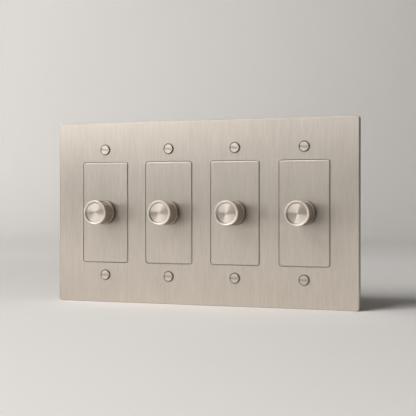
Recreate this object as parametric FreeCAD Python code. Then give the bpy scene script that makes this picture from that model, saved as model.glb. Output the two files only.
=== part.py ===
import FreeCAD, Part
import math
import os

os.makedirs("parts", exist_ok=True)

# Four-gang rotary dimmer on one wall plate, in millimetres.
# Frame: +X to the right as seen from the room, +Y into the wall, +Z up.
# Origin: centre of the wall plate's rear face, which lies on the wall.

# Gangs and what the room sees of them
GANG_COUNT = 4
INSERT_WIDTH = 33.0
INSERT_HEIGHT = 66.6
INSERT_CORNER_R = 1.75
INSERT_EDGE_R = 0.65
INSERT_PROUD = 0.25
INSERT_GAP = 0.25

# Wall plate, with one pocket behind each opening for a yoke
PLATE_THICKNESS = 3.2
PLATE_WEB = 1.6
PLATE_CORNER_R = 1.9
PLATE_EDGE_R = 0.5
PLATE_SIDE_RIM = 14.79
PLATE_END_RIM = 6.35
RIB_WIDTH = 5.64
POCKET_CLEARANCE = 0.5
POCKET_CORNER_R = 3.0

# Yoke: flat steel strap with cut corners
YOKE_THICKNESS = 1.5
YOKE_SIDE_MARGIN = 0.7
YOKE_END_MARGIN = 11.35
YOKE_CORNER_CUT = 8.0

# Box screws, slotted, in shallow seats, with a relieved neck that a fibre washer keeps captive
SCREW_TO_INSERT = 8.35
SCREW_HEAD_D = 5.9
SCREW_HEAD_HEIGHT = 1.5
SCREW_HEAD_ROUND = 0.15
SCREW_SEAT_DEPTH = 0.6
SCREW_SEAT_GAP = 0.7
SCREW_SLOT_WIDTH = 1.2
SCREW_SLOT_DEPTH = 0.7
SLOT_FLARE = 0.2
UPPER_SLOT_TILT = 7.0
SCREW_THREAD_R = 1.75
SCREW_NECK_RELIEF = 0.35
SCREW_THREAD_LENGTH = 20.0
SCREW_TIP_CHAMFER = 0.6
SCREW_HOLE_CLEARANCE = 0.25
YOKE_SLOT_TRAVEL = 2.6
RETAINER_BRIM = 2.75
RETAINER_THICKNESS = 0.8
RETAINER_FIT = 0.1
THREAD_START_GAP = 0.3

# Knob, turned from bar: recessed front, smooth collar, knurled grip, smooth rear band
KNOB_D = 16.0
KNOB_LENGTH = 14.75
KNOB_SKIRT_WALL = 1.2
KNOB_FRONT_WALL = 2.2
KNOB_PUSHED_GAP = 0.3
KNOB_NUT_CLEARANCE = 0.45
RIM_ROUND = 0.4
RIM_LAND = 0.65
LAND_ROUND = 0.8
BEVEL_WIDTH = 0.85
BEVEL_DEPTH = 0.9
COLLAR_LENGTH = 1.0
BAND_LENGTH = 3.4
BAND_EDGE_R = 0.3
KNURL_PITCH = 1.14
KNURL_ROW = 1.3
KNURL_DEPTH = 0.4
KNURL_INSET = 0.2
KNURL_BACKING = 0.25
BUSH_WALL = 1.75
BUSH_CAP = 1.0
BUSH_FIT = 0.04

# Control: shaft, bushing, body and rotor
PUSH_TRAVEL = 0.8
SHAFT_D = 6.0
SHAFT_FLAT = 1.5
SHAFT_FIT = 0.05
BUSHING_WALL = 0.5
BUSHING_FIT = 0.1
BUSHING_STANDOUT = 0.5
NUT_THICKNESS = 2.0
NUT_FIT = 0.05
WASHER_THICKNESS = 0.5
WASHER_INSET = 0.4
POT_WALL = 1.5
POT_CORNER_R = 1.5
ROTOR_D = 13.4
ROTOR_DISC = 2.5
ROTOR_SKIRT = 1.2
ROTOR_CLEARANCE = 0.3
SHAFT_OVERRUN = 0.6
SHAFT_END_CLEARANCE = 0.6
KEY_RUNOUT = 0.4

# Push switch behind the shaft
STEM_D = 3.6
STEM_FIT = 0.2
STEM_GAP = 0.1
FLANGE_D = 7.0
FLANGE_THICKNESS = 1.2
GUIDE_D = 3.0
GUIDE_LENGTH = 3.0
SWITCH_SIZE = 14.0
SWITCH_FLOOR = 1.5
SWITCH_CORNER_R = 0.8

# Circuit board and the parts on its rear
BOARD_THICKNESS = 1.6
BOARD_EDGE = 4.4
BOARD_END = 1.0
BOARD_CORNER_R = 1.0
COMPONENT_GAP = 1.5
CHOKE_D = 13.0
CHOKE_HEIGHT = 14.0
CHOKE_FLANGE = 1.6
CHOKE_WAIST = 0.9
TRIAC_WIDTH = 10.1
TRIAC_HEIGHT = 15.0
TRIAC_BODY_HEIGHT = 9.0
TRIAC_BODY_DEPTH = 4.5
TRIAC_TAB = 1.3
TRIAC_HOLE_R = 1.8
CAPACITOR_LENGTH = 15.0
CAPACITOR_WIDTH = 6.0
CAPACITOR_HEIGHT = 12.0
CAPACITOR_EDGE_R = 0.6

# Screw terminals, three a gang
TERMINAL_COUNT = 3
TERMINAL_WIDTH = 5.6
TERMINAL_DEPTH = 6.5
TERMINAL_HEIGHT = 11.0
TERMINAL_SCREW_R = 1.4
TERMINAL_HEAD_R = 2.1
TERMINAL_HEAD_HEIGHT = 1.6
TERMINAL_SLOT = 0.7
TERMINAL_SCREW_LENGTH = 4.5
WIRE_HOLE_R = 1.6
WIRE_HOLE_HEIGHT = 4.0
DRIVER_CLEARANCE = 0.5

# Moulded housing and back cover
HOUSING_WALL = 2.0
HOUSING_INNER_CORNER_R = 1.0
BOARD_CLEARANCE = 0.3
COVER_CLEARANCE = 1.5
COVER_THICKNESS = 2.0
COVER_EDGE_R = 1.0
COVER_LIP = 1.2
COVER_LIP_DEPTH = 1.5
COVER_LIP_FIT = 0.15
POST_R = 2.0
POST_INSET = 2.0
VENT_COUNT = 5
VENT_WIDTH = 1.6
VENT_LENGTH = 12.0
VENT_PITCH = 4.0
VENT_CORNER_R = 0.7

# Screws that close the housing on the yoke, and the ground screw on the yoke
CASE_SCREW_R = 1.5
CASE_SCREW_FIT = 0.2
CASE_THREAD_FIT = 0.05
CASE_HEAD_R = 2.75
CASE_HEAD_HEIGHT = 1.8
CASE_SLOT = 0.8
CASE_TIP_INSET = 0.2
CASE_BOSS_WALL = 1.3
CASE_BOSS_GAP = 0.5
CASE_BOSS_SINK = 1.0
CASE_BOSS_INSET = 1.1
GROUND_HEAD_R = 3.2
GROUND_HEAD_HEIGHT = 2.0
GROUND_SCREW_X = -12.0
GROUND_TO_HOUSING = 6.0

# How far a cutter runs past the face that it opens, and how closely an edge is found
OVERCUT = 1.0
EDGE_TOLERANCE = 1e-3

INTO_WALL = FreeCAD.Vector(0, 1, 0)
UP = FreeCAD.Vector(0, 0, 1)

# Radii and fits that several pieces share
knob_r = KNOB_D / 2
knurl_tip_r = knob_r - KNURL_INSET
counterbore_r = knob_r - KNOB_SKIRT_WALL
nut_corner_r = counterbore_r - KNOB_NUT_CLEARANCE
washer_r = nut_corner_r - WASHER_INSET
shaft_r = SHAFT_D / 2
bushing_r = shaft_r + SHAFT_FIT + BUSHING_WALL
bushing_hole_r = bushing_r + BUSHING_FIT
bush_r = shaft_r + SHAFT_FIT + BUSH_WALL
rotor_r = ROTOR_D / 2
pot_cavity_r = rotor_r + ROTOR_CLEARANCE
pot_size = 2 * (pot_cavity_r + POT_WALL)
stem_r = STEM_D / 2
flange_r = FLANGE_D / 2
guide_r = GUIDE_D / 2
screw_hole_r = SCREW_THREAD_R + SCREW_HOLE_CLEARANCE
screw_neck_r = SCREW_THREAD_R - SCREW_NECK_RELIEF
screw_head_r = SCREW_HEAD_D / 2
screw_seat_r = screw_head_r + SCREW_SEAT_GAP
retainer_r = SCREW_THREAD_R + RETAINER_BRIM
case_hole_r = CASE_SCREW_R + CASE_SCREW_FIT
case_boss_r = case_hole_r + CASE_BOSS_WALL

# Depths along Y, from the room towards the wall box
y_wall = 0.0
y_plate_front = y_wall - PLATE_THICKNESS
y_screw_seat = y_plate_front + SCREW_SEAT_DEPTH
y_screw_top = y_screw_seat - SCREW_HEAD_HEIGHT
y_yoke_front = y_plate_front + PLATE_WEB
y_yoke_back = y_yoke_front + YOKE_THICKNESS
y_retainer_back = y_yoke_back + RETAINER_THICKNESS
y_thread_start = y_retainer_back + THREAD_START_GAP
y_insert_front = y_plate_front - INSERT_PROUD
y_nut_back = y_insert_front - WASHER_THICKNESS
y_nut_front = y_nut_back - NUT_THICKNESS
y_bushing_front = y_nut_front - BUSHING_STANDOUT
y_knob_rear = y_insert_front - KNOB_PUSHED_GAP - PUSH_TRAVEL
y_knob_front = y_knob_rear - KNOB_LENGTH
y_knob_disc = y_knob_front + BEVEL_DEPTH
y_bush_front = y_knob_disc + KNOB_FRONT_WALL
y_bush_back = y_bushing_front - PUSH_TRAVEL - KNOB_PUSHED_GAP
y_shaft_front = y_bush_front + BUSH_CAP
y_case_floor = y_yoke_back + HOUSING_WALL
y_rotor_front = y_case_floor + POT_WALL + ROTOR_CLEARANCE
y_disc_back = y_rotor_front + ROTOR_DISC
y_shaft_back = y_disc_back + SHAFT_OVERRUN
y_board_front = y_shaft_back + PUSH_TRAVEL + SHAFT_END_CLEARANCE
y_board_back = y_board_front + BOARD_THICKNESS
y_flange_front = y_board_back + STEM_GAP
y_flange_back = y_flange_front + FLANGE_THICKNESS
y_guide_back = y_flange_back + GUIDE_LENGTH
y_switch_bore = y_guide_back + PUSH_TRAVEL + STEM_FIT
y_switch_back = y_switch_bore + SWITCH_FLOOR
y_terminal_back = y_board_back + TERMINAL_HEIGHT
y_terminal_head = y_terminal_back + TERMINAL_HEAD_HEIGHT
tallest = max(y_switch_back, y_terminal_head, y_board_back + max(CHOKE_HEIGHT, CAPACITOR_HEIGHT))
y_case_back = tallest + COVER_CLEARANCE
y_cover_back = y_case_back + COVER_THICKNESS

# Layout of the board: power parts above the switch, capacitor and terminals below it
power_row = max(CHOKE_D, TRIAC_HEIGHT)
power_row_width = CHOKE_D + COMPONENT_GAP + TRIAC_WIDTH
terminal_pitch = TERMINAL_WIDTH + COMPONENT_GAP
terminal_row_width = TERMINAL_COUNT * terminal_pitch - COMPONENT_GAP
power_row_z = SWITCH_SIZE / 2 + COMPONENT_GAP + power_row / 2
capacitor_z = -(SWITCH_SIZE / 2 + COMPONENT_GAP + CAPACITOR_WIDTH / 2)
terminal_z = capacitor_z - CAPACITOR_WIDTH / 2 - COMPONENT_GAP - TERMINAL_DEPTH / 2
choke_x = -power_row_width / 2 + CHOKE_D / 2
triac_x = power_row_width / 2 - TRIAC_WIDTH / 2
terminal_xs = [(i - (TERMINAL_COUNT - 1) / 2) * terminal_pitch for i in range(TERMINAL_COUNT)]
board_width = max(power_row_width, terminal_row_width, CAPACITOR_LENGTH, pot_size) + 2 * BOARD_EDGE
board_height = 2 * (max(power_row_z + power_row / 2, TERMINAL_DEPTH / 2 - terminal_z) + BOARD_END)

# Housing round the board, yoke round the housing, plate round the yokes
case_inner_width = board_width + 2 * BOARD_CLEARANCE
case_inner_height = board_height + 2 * (2 * case_boss_r - CASE_BOSS_SINK + CASE_BOSS_GAP)
case_width = case_inner_width + 2 * HOUSING_WALL
case_height = case_inner_height + 2 * HOUSING_WALL
case_corner_r = HOUSING_INNER_CORNER_R + HOUSING_WALL
case_screw_x = board_width / 2 - case_boss_r - CASE_BOSS_INSET
case_screw_z = case_inner_height / 2 - case_boss_r + CASE_BOSS_SINK
case_screw_places = [(-case_screw_x, case_screw_z), (case_screw_x, -case_screw_z)]
post_places = [
    (sx * (board_width / 2 - POST_INSET), sz * (board_height / 2 - POST_INSET))
    for sx in (-1, 1)
    for sz in (-1, 1)
]
screw_z = max(INSERT_HEIGHT / 2 + SCREW_TO_INSERT, case_height / 2 + retainer_r + POCKET_CLEARANCE)
yoke_width = case_width + 2 * YOKE_SIDE_MARGIN
yoke_height = 2 * (screw_z + YOKE_END_MARGIN)
pocket_width = yoke_width + 2 * POCKET_CLEARANCE
pocket_height = yoke_height + 2 * POCKET_CLEARANCE
gang_pitch = pocket_width + RIB_WIDTH
gang_xs = [(i - (GANG_COUNT - 1) / 2) * gang_pitch for i in range(GANG_COUNT)]
plate_width = (GANG_COUNT - 1) * gang_pitch + pocket_width + 2 * PLATE_SIDE_RIM
plate_height = pocket_height + 2 * PLATE_END_RIM
ground_z = -(case_height / 2 + GROUND_TO_HOUSING)


def point(x, y, z):
    return FreeCAD.Vector(x, y, z)


def depth_edges(shape):
    """Straight edges that run from front to back."""
    return [e for e in shape.Edges if e.BoundBox.YLength > e.BoundBox.XLength + e.BoundBox.ZLength]


def edges_at_depth(shape, y):
    """Edges that lie flat at one depth."""
    boxes = [(edge, edge.BoundBox) for edge in shape.Edges]
    return [edge for edge, box in boxes if max(abs(box.YMin - y), abs(box.YMax - y)) < EDGE_TOLERANCE]


def block(width, height, y_front, y_back, x=0.0, z=0.0):
    """Square-cornered slab centred on (x, z)."""
    return Part.makeBox(width, y_back - y_front, height, point(x - width / 2, y_front, z - height / 2))


def slab(width, height, y_front, y_back, corner_r, x=0.0, z=0.0):
    """Upright slab centred on (x, z), rounded at its four corners."""
    sharp = block(width, height, y_front, y_back, x, z)
    return sharp.makeFillet(corner_r, depth_edges(sharp))


def rod(radius, y_front, y_back, x=0.0, z=0.0):
    """Round bar along Y, also the cutter of each round hole."""
    return Part.makeCylinder(radius, y_back - y_front, point(x, y_front, z), INTO_WALL)


def flatted_rod(radius, flat, y_front, y_back):
    """Round bar with one flat that faces up, at the height flat over its axis."""
    bar = rod(radius, y_front, y_back)
    shaving = block(4 * radius, 2 * radius, y_front, y_back, z=flat + radius)
    return bar.cut(shaving)


def flat(corners):
    """Plane face inside a closed outline."""
    return Part.Face(Part.makePolygon(corners + corners[:1]))


def turned(profile):
    """Solid turned about the Y axis from (radius, depth) corners."""
    corners = [point(radius, depth, 0) for radius, depth in profile]
    return flat(corners).revolve(point(0, 0, 0), INTO_WALL, 360)


def at(shape, x, z=0.0):
    """Copy of a shape, moved across the wall."""
    return shape.translated(point(x, 0, z))


def slotted(head, width, depth, y_top, into, radius):
    """Screw with a driver slot, flared at its mouth, across the end of its head at y_top."""
    half = width / 2
    y_floor = y_top + into * depth
    y_lip = y_top + into * SLOT_FLARE
    side = [(half, y_floor), (half, y_lip), (half + SLOT_FLARE + OVERCUT, y_top - into * OVERCUT)]
    section = side + [(-z, y) for z, y in side[::-1]]
    end = flat([point(-2 * radius, y, z) for z, y in section])
    return head.cut(end.extrude(point(4 * radius, 0, 0)))


def wall_plate():
    plate = slab(plate_width, plate_height, y_plate_front, y_wall, PLATE_CORNER_R)
    plate = plate.makeFillet(PLATE_EDGE_R, edges_at_depth(plate, y_plate_front))
    opening_width = INSERT_WIDTH + 2 * INSERT_GAP
    opening_height = INSERT_HEIGHT + 2 * INSERT_GAP
    opening_corner_r = INSERT_CORNER_R + INSERT_GAP
    y_before = y_plate_front - OVERCUT
    y_behind = y_wall + OVERCUT
    for x in gang_xs:
        pocket = slab(pocket_width, pocket_height, y_yoke_front, y_behind, POCKET_CORNER_R, x)
        opening = slab(opening_width, opening_height, y_before, y_behind, opening_corner_r, x)
        holes = [rod(screw_hole_r, y_before, y_behind, x, z) for z in (-screw_z, screw_z)]
        seats = [rod(screw_seat_r, y_before, y_screw_seat, x, z) for z in (-screw_z, screw_z)]
        plate = plate.cut([pocket, opening] + holes + seats)
    return plate


def face_insert():
    insert = slab(INSERT_WIDTH, INSERT_HEIGHT, y_insert_front, y_yoke_front, INSERT_CORNER_R)
    insert = insert.makeFillet(INSERT_EDGE_R, edges_at_depth(insert, y_insert_front))
    return insert.cut(rod(bushing_hole_r, y_insert_front - OVERCUT, y_yoke_front + OVERCUT))


def yoke():
    half_width = yoke_width / 2
    half_height = yoke_height / 2
    quarter = [(half_width, half_height - YOKE_CORNER_CUT), (half_width - YOKE_CORNER_CUT, half_height)]
    right = [(x, -z) for x, z in quarter[::-1]] + quarter
    outline = [point(x, y_yoke_front, z) for x, z in right]
    outline += [point(-x, y_yoke_front, z) for x, z in right[::-1]]
    strap = flat(outline).extrude(INTO_WALL * YOKE_THICKNESS)
    y_before = y_yoke_front - OVERCUT
    y_behind = y_yoke_back + OVERCUT
    cutters = [rod(bushing_hole_r, y_before, y_behind)]
    slot_height = 2 * screw_hole_r
    for z in (-screw_z, screw_z):
        cutters.append(block(YOKE_SLOT_TRAVEL, slot_height, y_before, y_behind, z=z))
        for end in (-YOKE_SLOT_TRAVEL / 2, YOKE_SLOT_TRAVEL / 2):
            cutters.append(rod(screw_hole_r, y_before, y_behind, end, z))
    for x, z in case_screw_places + [(GROUND_SCREW_X, ground_z)]:
        cutters.append(rod(CASE_SCREW_R + CASE_THREAD_FIT, y_before, y_behind, x, z))
    return strap.cut(cutters)


def housing():
    case = slab(case_width, case_height, y_yoke_back, y_case_back, case_corner_r)
    y_behind = y_case_back + OVERCUT
    hollow = slab(case_inner_width, case_inner_height, y_case_floor, y_behind, HOUSING_INNER_CORNER_R)
    case = case.cut(hollow)
    bosses = [rod(case_boss_r, y_case_floor, y_case_back, x, z) for x, z in case_screw_places]
    posts = [rod(POST_R, y_case_floor, y_board_front, x, z) for x, z in post_places]
    case = case.fuse(bosses + posts)
    y_before = y_yoke_back - OVERCUT
    holes = [rod(case_hole_r, y_before, y_behind, x, z) for x, z in case_screw_places]
    holes.append(rod(bushing_hole_r, y_before, y_case_floor + OVERCUT))
    y_wire = y_board_back + WIRE_HOLE_HEIGHT
    port_length = HOUSING_WALL + 2 * OVERCUT
    for x in terminal_xs:
        start = point(x, y_wire, -case_height / 2 - OVERCUT)
        holes.append(Part.makeCylinder(WIRE_HOLE_R, port_length, start, UP))
    return case.cut(holes)


def back_cover():
    lid = slab(case_width, case_height, y_case_back, y_cover_back, case_corner_r)
    lid = lid.makeFillet(COVER_EDGE_R, edges_at_depth(lid, y_cover_back))
    lip_width = case_inner_width - 2 * COVER_LIP_FIT
    lip_height = case_inner_height - 2 * COVER_LIP_FIT
    y_lip = y_case_back - COVER_LIP_DEPTH
    lip = slab(lip_width, lip_height, y_lip, y_case_back, HOUSING_INNER_CORNER_R)
    hollow = block(lip_width - 2 * COVER_LIP, lip_height - 2 * COVER_LIP, y_lip - OVERCUT, y_case_back)
    reliefs = [
        rod(case_boss_r + COVER_LIP_FIT, y_lip - OVERCUT, y_case_back, x, z) for x, z in case_screw_places
    ]
    lip = lip.cut([hollow] + reliefs)
    posts = [rod(POST_R, y_board_back, y_case_back, x, z) for x, z in post_places]
    lid = lid.fuse([lip] + posts)
    y_before = y_lip - OVERCUT
    y_behind = y_cover_back + OVERCUT
    holes = [rod(case_hole_r, y_before, y_behind, x, z) for x, z in case_screw_places]
    driver_r = TERMINAL_HEAD_R + DRIVER_CLEARANCE
    holes += [rod(driver_r, y_before, y_behind, x, terminal_z) for x in terminal_xs]
    for i in range(VENT_COUNT):
        x = (i - (VENT_COUNT - 1) / 2) * VENT_PITCH
        holes.append(slab(VENT_WIDTH, VENT_LENGTH, y_before, y_behind, VENT_CORNER_R, x, power_row_z))
    return lid.cut(holes)


def circuit_board():
    board = slab(board_width, board_height, y_board_front, y_board_back, BOARD_CORNER_R)
    return board.cut(rod(stem_r + STEM_FIT, y_board_front - OVERCUT, y_board_back + OVERCUT))


def pot_body():
    body = slab(pot_size, pot_size, y_case_floor, y_board_front, POT_CORNER_R)
    body = body.cut(rod(pot_cavity_r, y_case_floor + POT_WALL, y_board_front + OVERCUT))
    body = body.fuse(rod(bushing_r, y_bushing_front, y_case_floor + POT_WALL))
    bore_r = shaft_r + SHAFT_FIT
    return body.cut(rod(bore_r, y_bushing_front - OVERCUT, y_rotor_front))


def wiper_rotor():
    disc = rod(rotor_r, y_rotor_front, y_disc_back)
    skirt = rod(rotor_r, y_disc_back, y_board_front - ROTOR_CLEARANCE)
    skirt = skirt.cut(rod(rotor_r - ROTOR_SKIRT, y_disc_back, y_board_front))
    hole = flatted_rod(
        shaft_r + SHAFT_FIT, SHAFT_FLAT + SHAFT_FIT, y_rotor_front - OVERCUT, y_disc_back + OVERCUT
    )
    return disc.fuse(skirt).cut(hole).removeSplitter()


def shaft():
    y_key = y_rotor_front - PUSH_TRAVEL - KEY_RUNOUT
    knob_end = flatted_rod(shaft_r, SHAFT_FLAT, y_shaft_front, y_bush_back)
    journal = rod(shaft_r, y_bush_back, y_key)
    rotor_end = flatted_rod(shaft_r, SHAFT_FLAT, y_key, y_shaft_back)
    return knob_end.fuse([journal, rotor_end]).removeSplitter()


def knob_bush():
    sleeve = rod(bush_r, y_bush_front, y_bush_back)
    hole = flatted_rod(shaft_r + SHAFT_FIT, SHAFT_FLAT + SHAFT_FIT, y_shaft_front, y_bush_back + OVERCUT)
    return sleeve.cut(hole)


def knurl_ring(row, columns, y):
    """Corners round the grip at one depth: tips and valleys by turns, a step round in each row."""
    corners = []
    for i in range(columns):
        radius = knurl_tip_r if (i + row) % 2 else knurl_tip_r - KNURL_DEPTH
        angle = 2 * math.pi * i / columns
        corners.append(point(radius * math.cos(angle), y, radius * math.sin(angle)))
    return corners


def knurled_bar(y_front, y_back):
    """Bar pressed into pointed diamonds, with creases from valley to valley."""
    columns = 2 * round(2 * math.pi * knob_r / KNURL_PITCH)
    rows = 2 * round((y_back - y_front) / KNURL_ROW)
    depths = [y_front + (y_back - y_front) * row / rows for row in range(rows + 1)]
    rings = [knurl_ring(row, columns, y) for row, y in enumerate(depths)]
    flats = [flat(rings[0]), flat(rings[-1])]
    for row in range(rows):
        front, back = rings[row], rings[row + 1]
        for i in range(columns):
            square = [front[i - 1], front[i], back[i], back[i - 1]]
            turn = (i - 1 + row) % 2
            a, b, c, d = square[turn:] + square[:turn]
            flats += [flat([a, b, c]), flat([a, c, d])]
    return Part.Solid(Part.Shell(flats))


def knob():
    y_grip_front = y_knob_front + COLLAR_LENGTH
    y_band_front = y_knob_rear - BAND_LENGTH
    waist_r = knurl_tip_r - KNURL_DEPTH - KNURL_BACKING
    spool = turned(
        [
            (0, y_knob_front),
            (knob_r, y_knob_front),
            (knob_r, y_grip_front),
            (waist_r, y_grip_front),
            (waist_r, y_band_front),
            (knob_r, y_band_front),
            (knob_r, y_knob_rear),
            (0, y_knob_rear),
        ]
    )
    spool = spool.makeFillet(RIM_ROUND, edges_at_depth(spool, y_knob_front))
    spool = spool.makeFillet(BAND_EDGE_R, edges_at_depth(spool, y_knob_rear))
    land_r = knob_r - RIM_ROUND - RIM_LAND
    flare = OVERCUT * BEVEL_WIDTH / BEVEL_DEPTH
    recess = turned(
        [
            (0, y_knob_disc),
            (land_r - BEVEL_WIDTH, y_knob_disc),
            (land_r + flare, y_knob_front - OVERCUT),
            (0, y_knob_front - OVERCUT),
        ]
    )
    spool = spool.cut(recess)
    land_edge = min(edges_at_depth(spool, y_knob_front), key=lambda edge: edge.Curve.Radius)
    spool = spool.makeFillet(LAND_ROUND, [land_edge])
    body = spool.fuse(knurled_bar(y_grip_front, y_band_front))
    counterbore = rod(counterbore_r, y_bush_back, y_knob_rear + OVERCUT)
    bore = rod(bush_r + BUSH_FIT, y_bush_front, y_bush_back + OVERCUT)
    return body.cut([counterbore, bore])


def pot_nut():
    angles = [math.radians(60 * i) for i in range(6)]
    corners = [point(nut_corner_r * math.cos(a), y_nut_front, nut_corner_r * math.sin(a)) for a in angles]
    nut = flat(corners).extrude(INTO_WALL * NUT_THICKNESS)
    return nut.cut(rod(bushing_r + NUT_FIT, y_nut_front - OVERCUT, y_nut_back + OVERCUT))


def pot_washer():
    ring = rod(washer_r, y_nut_back, y_insert_front)
    return ring.cut(rod(bushing_hole_r, y_nut_back - OVERCUT, y_insert_front + OVERCUT))


def switch_body():
    body = slab(SWITCH_SIZE, SWITCH_SIZE, y_board_back, y_switch_back, SWITCH_CORNER_R)
    y_cavity = y_flange_back + PUSH_TRAVEL + STEM_FIT
    cavity = rod(flange_r + STEM_FIT, y_board_back - OVERCUT, y_cavity)
    return body.cut([cavity, rod(guide_r + STEM_FIT, y_board_back, y_switch_bore)])


def switch_plunger():
    stem = rod(stem_r, y_shaft_back + STEM_GAP, y_flange_front)
    flange = rod(flange_r, y_flange_front, y_flange_back)
    guide = rod(guide_r, y_flange_back, y_guide_back)
    return stem.fuse([flange, guide])


def box_screw(slot_tilt):
    """Screw along Y through the plate: slotted head, relieved neck, threaded end."""
    head = rod(screw_head_r, y_screw_top, y_screw_seat)
    head = head.makeFillet(SCREW_HEAD_ROUND, edges_at_depth(head, y_screw_top))
    head = slotted(head, SCREW_SLOT_WIDTH, SCREW_SLOT_DEPTH, y_screw_top, 1, screw_head_r)
    head.rotate(point(0, 0, 0), INTO_WALL, slot_tilt)
    y_tip = y_thread_start + SCREW_THREAD_LENGTH
    shank = turned(
        [
            (0, y_screw_seat),
            (screw_neck_r, y_screw_seat),
            (screw_neck_r, y_thread_start),
            (SCREW_THREAD_R, y_thread_start),
            (SCREW_THREAD_R, y_tip - SCREW_TIP_CHAMFER),
            (SCREW_THREAD_R - SCREW_TIP_CHAMFER, y_tip),
            (0, y_tip),
        ]
    )
    return head.fuse(shank)


def screw_retainer():
    ring = rod(retainer_r, y_yoke_back, y_retainer_back)
    return ring.cut(rod(screw_neck_r + RETAINER_FIT, y_yoke_back - OVERCUT, y_retainer_back + OVERCUT))


def rear_screw(radius, head_r, head_height, slot, y_tip, y_seat):
    """Slotted cheese-head screw that enters from the rear."""
    screw = rod(radius, y_tip, y_seat).fuse(rod(head_r, y_seat, y_seat + head_height))
    return slotted(screw, slot, head_height / 2, y_seat + head_height, -1, head_r)


def terminal_clamp():
    clamp = block(TERMINAL_WIDTH, TERMINAL_DEPTH, y_board_back, y_terminal_back)
    y_wire = y_board_back + WIRE_HOLE_HEIGHT
    start = point(0, y_wire, -TERMINAL_DEPTH / 2 - OVERCUT)
    wire_hole = Part.makeCylinder(WIRE_HOLE_R, TERMINAL_DEPTH + 2 * OVERCUT, start, UP)
    screw_hole = rod(TERMINAL_SCREW_R + CASE_THREAD_FIT, y_wire, y_terminal_back + OVERCUT)
    return clamp.cut([wire_hole, screw_hole])


def choke():
    """Sleeved drum choke: two flanges and the winding between them."""
    radius = CHOKE_D / 2
    winding_r = radius - CHOKE_WAIST
    y_back = y_board_back + CHOKE_HEIGHT
    return turned(
        [
            (0, y_board_back),
            (radius, y_board_back),
            (radius, y_board_back + CHOKE_FLANGE),
            (winding_r, y_board_back + CHOKE_FLANGE),
            (winding_r, y_back - CHOKE_FLANGE),
            (radius, y_back - CHOKE_FLANGE),
            (radius, y_back),
            (0, y_back),
        ]
    )


def triac():
    """Power switch lying on the board: metal tab with a hole, moulded body below it."""
    y_tab = y_board_back + TRIAC_TAB
    y_body = y_board_back + TRIAC_BODY_DEPTH
    body_z = (TRIAC_BODY_HEIGHT - TRIAC_HEIGHT) / 2
    hole_z = TRIAC_BODY_HEIGHT / 2
    tab = block(TRIAC_WIDTH, TRIAC_HEIGHT, y_board_back, y_tab)
    body = block(TRIAC_WIDTH, TRIAC_BODY_HEIGHT, y_board_back, y_body, z=body_z)
    hole = rod(TRIAC_HOLE_R, y_board_back - OVERCUT, y_tab + OVERCUT, z=hole_z)
    return tab.fuse(body).cut(hole)


def capacitor():
    y_back = y_board_back + CAPACITOR_HEIGHT
    can = slab(CAPACITOR_LENGTH, CAPACITOR_WIDTH, y_board_back, y_back, CAPACITOR_EDGE_R)
    return can.makeFillet(CAPACITOR_EDGE_R, edges_at_depth(can, y_back))


def save(name, shapes):
    """One file a node: a single solid, or a group of like solids."""
    shape = shapes[0] if len(shapes) == 1 else Part.makeCompound(shapes)
    shape.exportStep("parts/" + name + ".step")


def on_each_gang(shape, places=((0.0, 0.0),)):
    return [at(shape, gang_x + x, z) for gang_x in gang_xs for x, z in places]


save("wall_plate", [wall_plate()])

gang_pieces = {
    "face_insert": face_insert(),
    "yoke": yoke(),
    "housing": housing(),
    "back_cover": back_cover(),
    "circuit_board": circuit_board(),
    "pot_body": pot_body(),
    "wiper_rotor": wiper_rotor(),
    "shaft": shaft(),
    "knob_bush": knob_bush(),
    "knob": knob(),
    "switch_body": switch_body(),
    "switch_plunger": switch_plunger(),
}
for name, piece in gang_pieces.items():
    for number, x in enumerate(gang_xs, start=1):
        save(f"{name}_{number}", [at(piece, x)])

upper_screws = on_each_gang(box_screw(UPPER_SLOT_TILT), [(0, screw_z)])
lower_screws = on_each_gang(box_screw(0), [(0, -screw_z)])
save("box_screws", upper_screws + lower_screws)
save("screw_retainers", on_each_gang(screw_retainer(), [(0, screw_z), (0, -screw_z)]))
save("pot_nuts", on_each_gang(pot_nut()))
save("pot_washers", on_each_gang(pot_washer()))
save("chokes", on_each_gang(choke(), [(choke_x, power_row_z)]))
save("triacs", on_each_gang(triac(), [(triac_x, power_row_z)]))
save("capacitors", on_each_gang(capacitor(), [(0, capacitor_z)]))

terminal_places = [(x, terminal_z) for x in terminal_xs]
y_terminal_tip = y_terminal_back - TERMINAL_SCREW_LENGTH
terminal_screw = rear_screw(
    TERMINAL_SCREW_R, TERMINAL_HEAD_R, TERMINAL_HEAD_HEIGHT, TERMINAL_SLOT, y_terminal_tip, y_terminal_back
)
save("terminal_clamps", on_each_gang(terminal_clamp(), terminal_places))
save("terminal_screws", on_each_gang(terminal_screw, terminal_places))

case_screw = rear_screw(
    CASE_SCREW_R, CASE_HEAD_R, CASE_HEAD_HEIGHT, CASE_SLOT, y_yoke_front + CASE_TIP_INSET, y_cover_back
)
ground_screw = rear_screw(
    CASE_SCREW_R, GROUND_HEAD_R, GROUND_HEAD_HEIGHT, CASE_SLOT, y_yoke_front + CASE_TIP_INSET, y_yoke_back
)
save("housing_screws", on_each_gang(case_screw, case_screw_places))
save("ground_screws", on_each_gang(ground_screw, [(GROUND_SCREW_X, ground_z)]))
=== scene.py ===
import math

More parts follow.
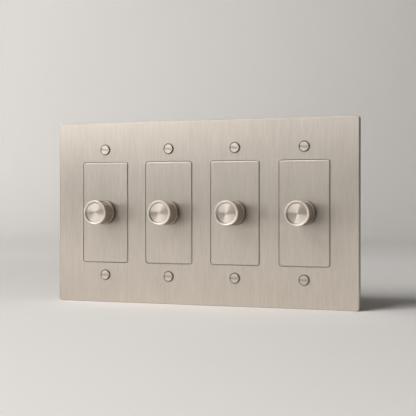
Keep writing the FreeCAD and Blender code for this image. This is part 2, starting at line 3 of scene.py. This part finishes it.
import bmesh
import bpy
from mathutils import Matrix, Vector


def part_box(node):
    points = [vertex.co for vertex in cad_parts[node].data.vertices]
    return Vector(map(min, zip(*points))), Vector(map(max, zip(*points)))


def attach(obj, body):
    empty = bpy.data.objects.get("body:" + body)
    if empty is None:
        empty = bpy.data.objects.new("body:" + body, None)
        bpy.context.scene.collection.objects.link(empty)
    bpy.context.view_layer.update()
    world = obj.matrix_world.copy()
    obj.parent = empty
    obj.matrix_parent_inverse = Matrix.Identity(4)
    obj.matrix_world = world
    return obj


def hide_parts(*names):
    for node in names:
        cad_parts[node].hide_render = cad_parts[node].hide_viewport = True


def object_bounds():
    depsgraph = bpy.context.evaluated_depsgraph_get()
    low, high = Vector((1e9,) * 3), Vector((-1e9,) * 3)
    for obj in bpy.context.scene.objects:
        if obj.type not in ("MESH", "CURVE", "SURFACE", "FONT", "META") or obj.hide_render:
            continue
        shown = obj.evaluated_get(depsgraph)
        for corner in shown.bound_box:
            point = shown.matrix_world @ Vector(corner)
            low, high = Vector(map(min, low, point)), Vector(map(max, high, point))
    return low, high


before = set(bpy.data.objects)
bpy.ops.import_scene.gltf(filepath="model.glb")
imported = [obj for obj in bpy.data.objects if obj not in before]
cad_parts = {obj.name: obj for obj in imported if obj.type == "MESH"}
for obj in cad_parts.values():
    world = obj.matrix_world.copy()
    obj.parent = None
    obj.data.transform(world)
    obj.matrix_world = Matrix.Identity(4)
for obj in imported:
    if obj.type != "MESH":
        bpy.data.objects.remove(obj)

cad_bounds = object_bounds()
MM = 0.001
GANGS = (1, 2, 3, 4)

# Photographed view: a square frame seen from the right of the plate's normal, a little above its middle
FRAME_PIXELS = 416
FOCAL_PIXELS = 1100.0
SENSOR_WIDTH = 36.0
CLIP_START = 0.01
CAMERA_PLACE = Vector((265.5, -661.5, 8.3)) * MM
CAMERA_YAW = math.radians(21.62)
CAMERA_TILT = math.radians(-0.42)

# Knob form, with lengths in millimetres, on the size that the frame gives
RIM_ROUND = 0.4
RIM_LAND = 0.65
BEVEL_WIDTH = 0.85
BEVEL_DEPTH = 0.9
LAND_ROUND = 0.8
COLLAR_LENGTH = 1.0
BAND_LENGTH = 3.4
BAND_LIP = 0.9
BAND_EDGE_R = 0.3
SKIRT_WALL = 1.2
COUNTERBORE_DEPTH = 3.0
BUSH_BORE_R = 4.84
BUSH_BORE_DEPTH = 11.65
KNURL_COUNT = 44
KNURL_ROWS = 8
KNURL_DEPTH = 0.4
KNURL_INSET = 0.2
KNURL_BACKING = 0.25
CREASE = math.radians(25)

# Facets round the knob, and along each rounding of its profile
TURNED_SIDES = 176
LAND_STEPS = 6
RIM_STEPS = 8
EDGE_STEPS = 5

# Material slots of the knob
DISC, GRIP, TURNED, FOOT = range(4)

# Box screws, in millimetres: where they stand, their heads, and the seats round these
GANG_PITCH = 46.04
SCREW_Z = 41.65
SCREW_HEAD_R = 2.95
SCREW_SEAT_R = 3.65

# Knob, plate and screw colours, linear; the grip's and the foot's are the knob steel darkened as painted
# shade
STEEL_COLOUR = (0.7, 0.63, 0.555)
DISC_COLOUR = (0.6, 0.535, 0.47)
KNOB_COLOUR = (0.66, 0.595, 0.53)
# Painted shade: the knurled grip darkened for the shade between its diamonds and the dark it reflects
GRIP_SHADED_COLOUR = (0.33, 0.29, 0.25)
# Painted shade: the knob's foot darkened for the shadow in the gap between knob and insert
FOOT_SHADED_COLOUR = (0.17, 0.15, 0.13)
SCREW_COLOUR = (0.68, 0.61, 0.53)

# Knob and screw roughness, and how metallic the turned steel is
KNOB_ROUGHNESS = 0.42
KNOB_METALLIC = 0.8
GRIP_ROUGHNESS = 0.4
FOOT_ROUGHNESS = 0.5
SCREW_ROUGHNESS = 0.34

# Factors on the colour that paint shade into the screws' slots and sides, into the seats round the screws and
# along the edges of the plate and inserts, and where these begin and fade in millimetres
SLOT_PAINTED_SHADE = 0.72
SLOT_FROM_DEPTH = 0.1
SLOT_TO_DEPTH = 0.6
SIDE_PAINTED_SHADE = 0.2
SIDE_WIDTH = 0.15
SIDE_FADE = 0.1
SEAT_PAINTED_SHADE = 0.5
SEAT_FADE = 0.1
EDGE_PAINTED_SHADE = 0.75
EDGE_WIDTH = 0.6
EDGE_FADE = 0.2

# Brushed steel: periods of its streaks and clouds along X, Y and Z in millimetres, and their swing in shade
BRUSHED_ROUGHNESS = 0.35
BRUSHED_ROUGHNESS_SWING = 0.02
BRUSHED_METALLIC = 0.75
BRUSHED_STRETCH = 0.88
FINE_PERIODS = (0.22, 0.22, 9.0)
FINE_SWING = 0.065
COARSE_PERIODS = (1.4, 1.4, 30.0)
COARSE_SWING = 0.025
CLOUD_PERIODS = (22.0, 22.0, 40.0)
CLOUD_SWING = 0.025
BRUSHED_DEPTH = 0.012
BRUSHED_STRENGTH = 0.35

# Spun steel: its rings, in millimetres
SPUN_ROUGHNESS = 0.32
SPUN_METALLIC = 0.8
SPUN_STRETCH = 0.92
RING_PERIOD = 0.12
RING_SWING = 0.05
RING_DEPTH = 0.004
RING_STRENGTH = 0.25

# Satin metal: its mottling, in millimetres
MOTTLE_PERIODS = (0.5, 0.5, 0.5)
MOTTLE_SWING = 0.06
MOTTLE_ROUGHNESS_SWING = 0.04
MOTTLE_DEPTH = 0.004
MOTTLE_STRENGTH = 0.3

# Moulded plastic: its sparked grain and clouds, in millimetres
GRAIN_PERIODS = (0.35, 0.35, 0.35)
GRAIN_ROUGHNESS_SWING = 0.06
GRAIN_DEPTH = 0.02
GRAIN_STRENGTH = 0.5
PLASTIC_CLOUD_PERIODS = (9.0, 9.0, 9.0)
PLASTIC_CLOUD_SWING = 0.07

# Finish, linear colour and roughness of the metal behind the plate, by node or by each gang's kind of node
METALS = {
    "pot_nuts": ("nut_steel", (0.6, 0.6, 0.57), 0.3),
    "pot_washers": ("washer_steel", (0.6, 0.6, 0.57), 0.35),
    "terminal_clamps": ("terminal_brass", (0.72, 0.53, 0.22), 0.35),
    "terminal_screws": ("terminal_screw_steel", (0.6, 0.6, 0.58), 0.32),
    "housing_screws": ("housing_screw_steel", (0.6, 0.6, 0.58), 0.32),
    "ground_screws": ("ground_screw_green", (0.05, 0.3, 0.1), 0.4),
    "yoke": ("yoke_zinc", (0.55, 0.56, 0.56), 0.42),
    "pot_body": ("control_casting", (0.56, 0.56, 0.54), 0.45),
    "shaft": ("shaft_brass", (0.68, 0.52, 0.24), 0.3),
}

# Finish, linear colour and roughness of what is moulded there, in the same way
PLASTICS = {
    "screw_retainers": ("retainer_fibre", (0.32, 0.12, 0.06), 0.8),
    "chokes": ("choke_sleeve", (0.03, 0.03, 0.035), 0.5),
    "triacs": ("triac_body", (0.025, 0.025, 0.028), 0.45),
    "capacitors": ("capacitor_case", (0.55, 0.36, 0.03), 0.3),
    "housing": ("case_plastic", (0.022, 0.022, 0.024), 0.55),
    "back_cover": ("cover_plastic", (0.028, 0.028, 0.03), 0.55),
    "circuit_board": ("board_laminate", (0.03, 0.16, 0.05), 0.4),
    "wiper_rotor": ("rotor_plastic", (0.72, 0.66, 0.52), 0.5),
    "knob_bush": ("bush_plastic", (0.03, 0.03, 0.03), 0.5),
    "switch_body": ("switch_plastic", (0.025, 0.025, 0.03), 0.35),
    "switch_plunger": ("plunger_plastic", (0.75, 0.75, 0.72), 0.45),
}

# Sweep of paper, in metres: a floor that bends up into a backdrop
SWEEP_NEAR_Y = -4.0
SWEEP_BACK_Y = 1.6
SWEEP_BEND = 0.5
SWEEP_TOP = 3.0
SWEEP_HALF_WIDTH = 4.0
BEND_STEPS = 12

# Paper of the sweep, with the factor on its colour up the backdrop and its clouds in millimetres
PAPER_COLOUR = (0.94, 0.91, 0.87)
PAPER_ROUGHNESS = 0.9
PAPER_CLOUD_PERIODS = (300.0, 300.0, 300.0)
PAPER_CLOUD_SWING = 0.015
BACKDROP_SHADE = 0.85

# Painted light: a glow on the far floor and backdrop, seen by the camera and in the metal and stronger at the
# left; its strengths, and in millimetres where it changes across and back
GLOW_COLOUR = (1.0, 0.97, 0.94, 1.0)
GLOW_LEFT = 0.34
GLOW_RIGHT = 0.1
GLOW_FROM_X = -1100.0
GLOW_TO_X = -150.0
GLOW_FROM_Y = 60.0
GLOW_TO_Y = 500.0

# Light level of the room at left, right and overhead, and the parts of a direction between which it changes
ROOM_COLOUR = (1.0, 0.98, 0.95, 1.0)
ROOM_LEFT = 0.04
ROOM_RIGHT = 0.02
ROOM_ABOVE = 0.02
ROOM_ACROSS = (-0.8, -0.05)
ROOM_UP = (0.25, 0.7)

# Soft lamps: place, target, and width and height in metres, and power in watts
LAMPS = {
    "front": ((-0.42, -0.85, 0.8), (0.0, 0.0, 0.0), (0.8, 0.7), 11.0),
    "front_left": ((-1.5, -1.4, 1.1), (0.0, 0.0, 0.0), (1.2, 1.2), 5.0),
    "side": ((-2.1, -0.5, 1.0), (0.0, 0.0, 0.0), (2.2, 1.8), 11.1),
    "strip": ((-1.0, -2.15, 0.4), (0.0, 0.0, 0.1), (1.4, 0.4), 3.2),
    "strip_left": ((-1.8, -1.6, 0.35), (0.0, 0.0, 0.1), (1.2, 0.4), 4.35),
}

# Span that most of a noise lies in, and the factors that leave only what lies across the plate's face
NOISE_SPAN = (0.3, 0.7)
ACROSS_FACE = (1.0, 0.0, 1.0)


def add_object(name, data):
    item = bpy.data.objects.new(name, data)
    bpy.context.scene.collection.objects.link(item)
    return item


def add_camera():
    lens = bpy.data.cameras.new("camera")
    lens.sensor_width = SENSOR_WIDTH
    lens.lens = SENSOR_WIDTH * FOCAL_PIXELS / FRAME_PIXELS
    lens.clip_start = CLIP_START
    camera = add_object("camera", lens)
    camera.location = CAMERA_PLACE
    camera.rotation_euler = (math.pi / 2 + CAMERA_TILT, 0.0, CAMERA_YAW)
    bpy.context.scene.camera = camera


class Finish:
    """A procedural material: a principled shader and short ways to feed it."""

    def __init__(self, name, colour, roughness, metallic):
        self.material = bpy.data.materials.new(name)
        self.material.use_nodes = True
        self.tree = self.material.node_tree
        self.shader = self.tree.nodes["Principled BSDF"]
        self.colour = colour
        self.set("Base Color", (*colour, 1.0))
        self.set("Roughness", roughness)
        self.set("Metallic", metallic)
        self.place = self.node("ShaderNodeTexCoord").outputs["Object"]

    def set(self, socket, value):
        self.shader.inputs[socket].default_value = value

    def node(self, kind, **settings):
        node = self.tree.nodes.new(kind)
        for name, value in settings.items():
            setattr(node, name, value)
        return node

    def link(self, output, target):
        self.tree.links.new(output, target)

    def feed(self, output, socket):
        self.link(output, self.shader.inputs[socket])

    def maths(self, operation, first, second):
        node = self.node("ShaderNodeMath", operation=operation)
        self.link(first, node.inputs[0])
        self.link(second, node.inputs[1])
        return node.outputs["Value"]

    def product(self, first, *others):
        for other in others:
            first = self.maths("MULTIPLY", first, other)
        return first

    def vector(self, operation, place, second=(0.0, 0.0, 0.0)):
        """Outputs of vector maths on a place, with a fixed second vector."""
        node = self.node("ShaderNodeVectorMath", operation=operation)
        self.link(place, node.inputs[0])
        node.inputs[1].default_value = second
        return node.outputs

    def split(self, place):
        """X, Y and Z of a place."""
        split = self.node("ShaderNodeSeparateXYZ")
        self.link(place, split.inputs[0])
        return split.outputs

    def change(self, value, start, end, before, after):
        """Even change from before to after as a value goes from start to end."""
        change = self.node("ShaderNodeMapRange")
        limits = {"From Min": start, "From Max": end, "To Min": before, "To Max": after}
        for socket, limit in limits.items():
            change.inputs[socket].default_value = limit
        self.link(value, change.inputs["Value"])
        return change.outputs["Result"]

    def step(self, length, start_mm, end_mm, before, after):
        """Even change between two lengths in millimetres."""
        return self.change(length, start_mm * MM, end_mm * MM, before, after)

    def swing(self, noise, middle, amount):
        """Value that a noise swings either way about its middle."""
        return self.change(noise, *NOISE_SPAN, middle - amount, middle + amount)

    def noise(self, periods_mm, detail=2.0):
        """Noise with a period along each axis."""
        place = self.vector("MULTIPLY", self.place, [1.0 / (period * MM) for period in periods_mm])["Vector"]
        return self.noise_at(place, detail)

    def noise_at(self, place, detail=2.0):
        noise = self.node("ShaderNodeTexNoise")
        noise.inputs["Scale"].default_value = 1.0
        noise.inputs["Detail"].default_value = detail
        self.link(place, noise.inputs["Vector"])
        return noise.outputs["Fac"]

    def vary_colour(self, factor):
        """Base colour times a factor that varies over the surface."""
        shade = self.node("ShaderNodeVectorMath", operation="SCALE")
        shade.inputs[0].default_value = self.colour
        self.link(factor, shade.inputs["Scale"])
        self.feed(shade.outputs["Vector"], "Base Color")

    def bump(self, height, depth_mm, strength):
        bump = self.node("ShaderNodeBump")
        bump.inputs["Strength"].default_value = strength
        bump.inputs["Distance"].default_value = depth_mm * MM
        self.link(height, bump.inputs["Height"])
        self.feed(bump.outputs["Normal"], "Normal")

    def folded(self):
        """Place, folded about the middle of the plate."""
        return self.vector("ABSOLUTE", self.place)["Vector"]

    def in_gang(self):
        """Place, folded about the middle of the nearest gang."""
        gang = self.vector("MODULO", self.folded(), (GANG_PITCH * MM, 1.0, 1.0))["Vector"]
        offset = self.vector("SUBTRACT", gang, (GANG_PITCH * MM / 2, 0.0, 0.0))["Vector"]
        return self.vector("ABSOLUTE", offset)["Vector"]

    def from_screw(self):
        """Distance from the axis of the nearest box screw."""
        offset = self.vector("SUBTRACT", self.in_gang(), (0.0, 0.0, SCREW_Z * MM))["Vector"]
        across = self.vector("MULTIPLY", offset, ACROSS_FACE)["Vector"]
        return self.vector("LENGTH", across)["Value"]

    def edges(self, place, node):
        """Painted shade: a factor that is 1 on the face of a rectangular node and falls along its edges,
        which also dims their highlights.
        """
        low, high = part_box(node)
        half = (high - low) / 2 / MM
        along = self.split(place)
        factors = []
        for axis, reach in (("X", half.x), ("Z", half.z)):
            start = reach - EDGE_WIDTH
            factors.append(self.step(along[axis], start, start + EDGE_FADE, 1.0, EDGE_PAINTED_SHADE))
        return self.maths("MINIMUM", *factors)


def brushed_steel(name, node, in_gang):
    """Steel brushed up and down, with highlights stretched across the streaks, and painted shade in the seats
    round the screws and along the edges.
    """
    finish = Finish(name, STEEL_COLOUR, BRUSHED_ROUGHNESS, BRUSHED_METALLIC)
    finish.set("Anisotropic", BRUSHED_STRETCH)
    across = finish.node("ShaderNodeCombineXYZ")
    across.inputs["X"].default_value = 1.0
    finish.feed(across.outputs["Vector"], "Tangent")
    fine = finish.noise(FINE_PERIODS)
    coarse = finish.noise(COARSE_PERIODS, detail=3.0)
    cloud = finish.noise(CLOUD_PERIODS)
    # Painted shade: the plate darkened in a ring round each screw head
    seat_r = SCREW_SEAT_R - SEAT_FADE / 2
    seat = finish.step(finish.from_screw(), seat_r, seat_r + SEAT_FADE, SEAT_PAINTED_SHADE, 1.0)
    # Painted shade along the edges of the plate and inserts, dimming their highlights
    edges = finish.edges(finish.in_gang() if in_gang else finish.folded(), node)
    finish.vary_colour(finish.product(
        finish.swing(fine, 1.0, FINE_SWING),
        finish.swing(coarse, 1.0, COARSE_SWING),
        finish.swing(cloud, 1.0, CLOUD_SWING),
        finish.maths("MINIMUM", seat, edges),
    ))
    finish.feed(finish.swing(coarse, BRUSHED_ROUGHNESS, BRUSHED_ROUGHNESS_SWING), "Roughness")
    finish.bump(finish.maths("ADD", fine, coarse), BRUSHED_DEPTH, BRUSHED_STRENGTH)
    return finish.material


def spun_steel(name, colour):
    """Steel spun on a lathe: rings about the piece's own Y axis, with highlights stretched outwards."""
    finish = Finish(name, colour, SPUN_ROUGHNESS, SPUN_METALLIC)
    finish.set("Anisotropic", SPUN_STRETCH)
    outwards = finish.vector("MULTIPLY", finish.place, ACROSS_FACE)["Vector"]
    finish.feed(outwards, "Tangent")
    scaled = finish.vector("MULTIPLY", outwards, [1.0 / (RING_PERIOD * MM)] * 3)["Vector"]
    ring_place = finish.node("ShaderNodeCombineXYZ")
    finish.link(finish.vector("LENGTH", scaled)["Value"], ring_place.inputs["X"])
    rings = finish.noise_at(ring_place.outputs["Vector"])
    finish.vary_colour(finish.swing(rings, 1.0, RING_SWING))
    finish.bump(rings, RING_DEPTH, RING_STRENGTH)
    return finish.material


def mottle(finish, roughness):
    """Mottles the roughness and relief of a finish, and returns a factor for its colour."""
    noise = finish.noise(MOTTLE_PERIODS, detail=3.0)
    finish.feed(finish.swing(noise, roughness, MOTTLE_ROUGHNESS_SWING), "Roughness")
    finish.bump(noise, MOTTLE_DEPTH, MOTTLE_STRENGTH)
    return finish.swing(noise, 1.0, MOTTLE_SWING)


def satin_metal(name, colour, roughness, metallic=1.0):
    """Satin turned or plated metal with slight mottling."""
    finish = Finish(name, colour, roughness, metallic)
    finish.vary_colour(mottle(finish, roughness))
    return finish.material


def screw_steel(name, colour, roughness):
    """Satin steel with painted shade in the slot and down the side of each head."""
    finish = Finish(name, colour, roughness, 1.0)
    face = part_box("box_screws")[0].y / MM
    depth = finish.split(finish.place)["Y"]
    # Painted shade: the slot and everything deeper than the face of each head darkened
    slot = finish.step(depth, face + SLOT_FROM_DEPTH, face + SLOT_TO_DEPTH, 1.0, SLOT_PAINTED_SHADE)
    # Painted shade: the outer side of each head darkened
    side_r = SCREW_HEAD_R - SIDE_WIDTH
    side = finish.step(finish.from_screw(), side_r, side_r + SIDE_FADE, 1.0, SIDE_PAINTED_SHADE)
    finish.vary_colour(finish.product(mottle(finish, roughness), slot, side))
    return finish.material


def moulded_plastic(name, colour, roughness):
    """Moulded plastic with a fine sparked texture."""
    finish = Finish(name, colour, roughness, 0.0)
    grain = finish.noise(GRAIN_PERIODS, detail=4.0)
    cloud = finish.noise(PLASTIC_CLOUD_PERIODS)
    finish.vary_colour(finish.swing(cloud, 1.0, PLASTIC_CLOUD_SWING))
    finish.feed(finish.swing(grain, roughness, GRAIN_ROUGHNESS_SWING), "Roughness")
    finish.bump(grain, GRAIN_DEPTH, GRAIN_STRENGTH)
    return finish.material


def dress(kind, material):
    """Give a finish to the node of that name, or to each gang's node of that kind."""
    nodes = [kind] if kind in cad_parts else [f"{kind}_{number}" for number in GANGS]
    for node in nodes:
        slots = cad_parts[node].data.materials
        slots.clear()
        slots.append(material)


def arc(centre, radius, start_deg, end_deg, steps):
    """(radius, depth) points on a rounding of the knob's profile."""
    points = []
    for i in range(steps + 1):
        angle = math.radians(start_deg + (end_deg - start_deg) * i / steps)
        points.append((centre[0] + radius * math.cos(angle), centre[1] + radius * math.sin(angle)))
    return points


def ring(mesh, radii, depth):
    """Closed ring of corners about the Y axis, one for each radius, in millimetres."""
    corners = []
    for i, radius in enumerate(radii):
        angle = 2 * math.pi * i / len(radii)
        place = Vector((radius * math.cos(angle), depth, radius * math.sin(angle)))
        corners.append(mesh.verts.new(place * MM))
    return corners


def lathe(mesh, profile, finishes):
    """Smooth surface turned from (radius, depth) points, a finish for each run; returns its end rings."""
    rings = [ring(mesh, [radius] * TURNED_SIDES, depth) for radius, depth in profile]
    for front, back, finish in zip(rings, rings[1:], finishes):
        for i in range(TURNED_SIDES):
            face = mesh.faces.new((front[i], front[i - 1], back[i - 1], back[i]))
            face.material_index = finish
            face.smooth = True
    return rings[0], rings[-1]


def knurl(mesh, tip, front, rear):
    """Pointed diamonds round a grip, with creases from valley to valley."""
    columns = 2 * KNURL_COUNT
    rows = 2 * KNURL_ROWS
    rings = []
    for row in range(rows + 1):
        radii = [tip if (i + row) % 2 else tip - KNURL_DEPTH for i in range(columns)]
        rings.append(ring(mesh, radii, front + (rear - front) * row / rows))
    for row in range(rows):
        near, far = rings[row], rings[row + 1]
        for i in range(columns):
            square = [near[i], near[i - 1], far[i - 1], far[i]]
            turn = (i + row) % 2
            a, b, c, d = square[turn:] + square[:turn]
            for corners in ((a, b, c), (a, c, d)):
                mesh.faces.new(corners).material_index = GRIP


def collar_profile(outer, waist, front, grip_front):
    """(radius, depth) points from the disc up its bevel, over the rim and down to the knurl."""
    land = outer - RIM_ROUND - RIM_LAND
    slope = math.atan2(BEVEL_DEPTH, BEVEL_WIDTH)
    land_centre = (land + LAND_ROUND * math.tan(slope / 2), front + LAND_ROUND)
    rim_centre = (outer - RIM_ROUND, front + RIM_ROUND)
    profile = [(land - BEVEL_WIDTH, front + BEVEL_DEPTH)]
    profile += arc(land_centre, LAND_ROUND, -90 - math.degrees(slope), -90, LAND_STEPS)
    profile += arc(rim_centre, RIM_ROUND, -90, 0, RIM_STEPS)
    return profile + [(outer, grip_front), (waist, grip_front)]


def foot_profile(outer, rear):
    """(radius, depth) points round the knob's rear edge and into its bores."""
    skirt = outer - SKIRT_WALL
    counterbore = rear - COUNTERBORE_DEPTH
    profile = arc((outer - BAND_EDGE_R, rear - BAND_EDGE_R), BAND_EDGE_R, 0, 90, EDGE_STEPS)
    profile += [(skirt, rear), (skirt, counterbore)]
    return profile + [(BUSH_BORE_R, counterbore), (BUSH_BORE_R, rear - BUSH_BORE_DEPTH)]


def knob(number, materials):
    """Turned knob with a knurled grip, on the axis and size of its CAD node."""
    low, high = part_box(f"knob_{number}")
    outer = (high.x - low.x) / 2 / MM
    front = low.y / MM
    rear = high.y / MM
    tip = outer - KNURL_INSET
    waist = tip - KNURL_DEPTH - KNURL_BACKING
    grip_front = front + COLLAR_LENGTH
    grip_rear = rear - BAND_LENGTH
    collar = collar_profile(outer, waist, front, grip_front)
    lip = [(waist, grip_rear), (outer, grip_rear), (outer, grip_rear + BAND_LIP)]
    foot = foot_profile(outer, rear)

    mesh = bmesh.new()
    disc_edge = lathe(mesh, collar, [TURNED] * (len(collar) - 1))[0]
    knurl(mesh, tip, grip_front, grip_rear)
    bore_end = lathe(mesh, lip + foot, [TURNED] * (len(lip) - 1) + [FOOT] * len(foot))[1]
    mesh.faces.new(disc_edge).material_index = DISC
    mesh.faces.new(list(reversed(bore_end))).material_index = FOOT
    mesh.normal_update()
    for edge in mesh.edges:
        if edge.is_manifold and edge.calc_face_angle() > CREASE:
            edge.smooth = False

    data = bpy.data.meshes.new(f"knurled_knob_{number}")
    mesh.to_mesh(data)
    mesh.free()
    for material in materials:
        data.materials.append(material)
    piece = add_object(f"knurled_knob_{number}", data)
    piece.location = ((low.x + high.x) / 2, 0.0, 0.0)
    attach(piece, f"control_{number}")
    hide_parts(f"knob_{number}")


def sweep_paper(floor_z):
    """Matt paper, darker up the backdrop, with painted light: a glow that only the camera, reflections and
    refractions see, paler far back and most at the left.
    """
    paper = Finish("sweep_paper", PAPER_COLOUR, PAPER_ROUGHNESS, 0.0)
    along = paper.split(paper.place)
    cloud = paper.swing(paper.noise(PAPER_CLOUD_PERIODS), 1.0, PAPER_CLOUD_SWING)
    fade = paper.step(along["Z"], floor_z / MM, (floor_z + SWEEP_BEND) / MM, 1.0, BACKDROP_SHADE)
    paper.vary_colour(paper.product(cloud, fade))
    # Painted light: emission that only camera, glossy and transmission rays see
    path = paper.node("ShaderNodeLightPath").outputs
    seen = paper.maths("MAXIMUM", path["Is Camera Ray"], path["Is Glossy Ray"])
    seen = paper.maths("MAXIMUM", seen, path["Is Transmission Ray"])
    back = paper.step(along["Y"], GLOW_FROM_Y, GLOW_TO_Y, 0.0, 1.0)
    across = paper.step(along["X"], GLOW_FROM_X, GLOW_TO_X, GLOW_LEFT, GLOW_RIGHT)
    paper.set("Emission Color", GLOW_COLOUR)
    paper.feed(paper.product(seen, back, across), "Emission Strength")
    return paper.material


def add_stage():
    """Pale floor under the object that curves up into a backdrop."""
    floor_z = cad_bounds[0].z
    bend_y = SWEEP_BACK_Y - SWEEP_BEND
    section = [(SWEEP_NEAR_Y, floor_z)]
    for i in range(BEND_STEPS + 1):
        angle = math.pi / 2 * i / BEND_STEPS
        section.append((bend_y + SWEEP_BEND * math.sin(angle), floor_z + SWEEP_BEND * (1 - math.cos(angle))))
    section.append((SWEEP_BACK_Y, floor_z + SWEEP_TOP))
    mesh = bmesh.new()
    left = [mesh.verts.new((-SWEEP_HALF_WIDTH, y, z)) for y, z in section]
    right = [mesh.verts.new((SWEEP_HALF_WIDTH, y, z)) for y, z in section]
    for i in range(len(section) - 1):
        mesh.faces.new((left[i], right[i], right[i + 1], left[i + 1])).smooth = True
    data = bpy.data.meshes.new("sweep")
    mesh.to_mesh(data)
    mesh.free()
    data.materials.append(sweep_paper(floor_z))
    sweep = add_object("sweep", data)


def add_room():
    """Dim room round the stage, less dim at the left."""
    world = bpy.data.worlds.new("studio")
    world.use_nodes = True
    nodes = world.node_tree.nodes
    links = world.node_tree.links
    direction = nodes.new("ShaderNodeSeparateXYZ")
    links.new(nodes.new("ShaderNodeTexCoord").outputs["Generated"], direction.inputs[0])

    def blend(axis, span, after):
        """Smooth change along one axis of the direction, to a level after its span."""
        level = nodes.new("ShaderNodeMapRange")
        level.interpolation_type = "SMOOTHSTEP"
        level.inputs["From Min"].default_value = span[0]
        level.inputs["From Max"].default_value = span[1]
        level.inputs["To Max"].default_value = after
        links.new(direction.outputs[axis], level.inputs["Value"])
        return level

    horizon = blend("X", ROOM_ACROSS, ROOM_RIGHT)
    horizon.inputs["To Min"].default_value = ROOM_LEFT
    level = blend("Z", ROOM_UP, ROOM_ABOVE)
    links.new(horizon.outputs["Result"], level.inputs["To Min"])
    background = nodes["Background"]
    background.inputs["Color"].default_value = ROOM_COLOUR
    links.new(level.outputs["Result"], background.inputs["Strength"])
    bpy.context.scene.world = world


def add_lamp(name, place, target, size, power):
    lamp = bpy.data.lights.new(name, "AREA")
    lamp.shape = "RECTANGLE"
    lamp.size, lamp.size_y = size
    lamp.energy = power
    item = add_object(name, lamp)
    item.location = place
    aim = Vector(target) - Vector(place)
    item.rotation_euler = aim.to_track_quat("-Z", "Y").to_euler()


add_camera()
bpy.context.scene.view_settings.view_transform = "Standard"

dress("wall_plate", brushed_steel("plate_steel", "wall_plate", in_gang=False))
dress("face_insert", brushed_steel("insert_steel", "face_insert_1", in_gang=True))
dress("box_screws", screw_steel("screw_steel", SCREW_COLOUR, SCREW_ROUGHNESS))
for kind, finish in METALS.items():
    dress(kind, satin_metal(*finish))
for kind, finish in PLASTICS.items():
    dress(kind, moulded_plastic(*finish))

knob_finishes = {
    DISC: spun_steel("knob_disc_steel", DISC_COLOUR),
    # Painted shade: a darker copy of the knob steel on the grip
    GRIP: satin_metal("knob_grip_shaded_steel", GRIP_SHADED_COLOUR, GRIP_ROUGHNESS),
    TURNED: satin_metal("knob_turned_steel", KNOB_COLOUR, KNOB_ROUGHNESS, KNOB_METALLIC),
    # Painted shade: a much darker copy of the knob steel on the foot and bores
    FOOT: satin_metal("knob_foot_shaded_steel", FOOT_SHADED_COLOUR, FOOT_ROUGHNESS),
}
for number in GANGS:
    knob(number, knob_finishes.values())

add_stage()
add_room()
for name, lamp in LAMPS.items():
    add_lamp(name, *lamp)
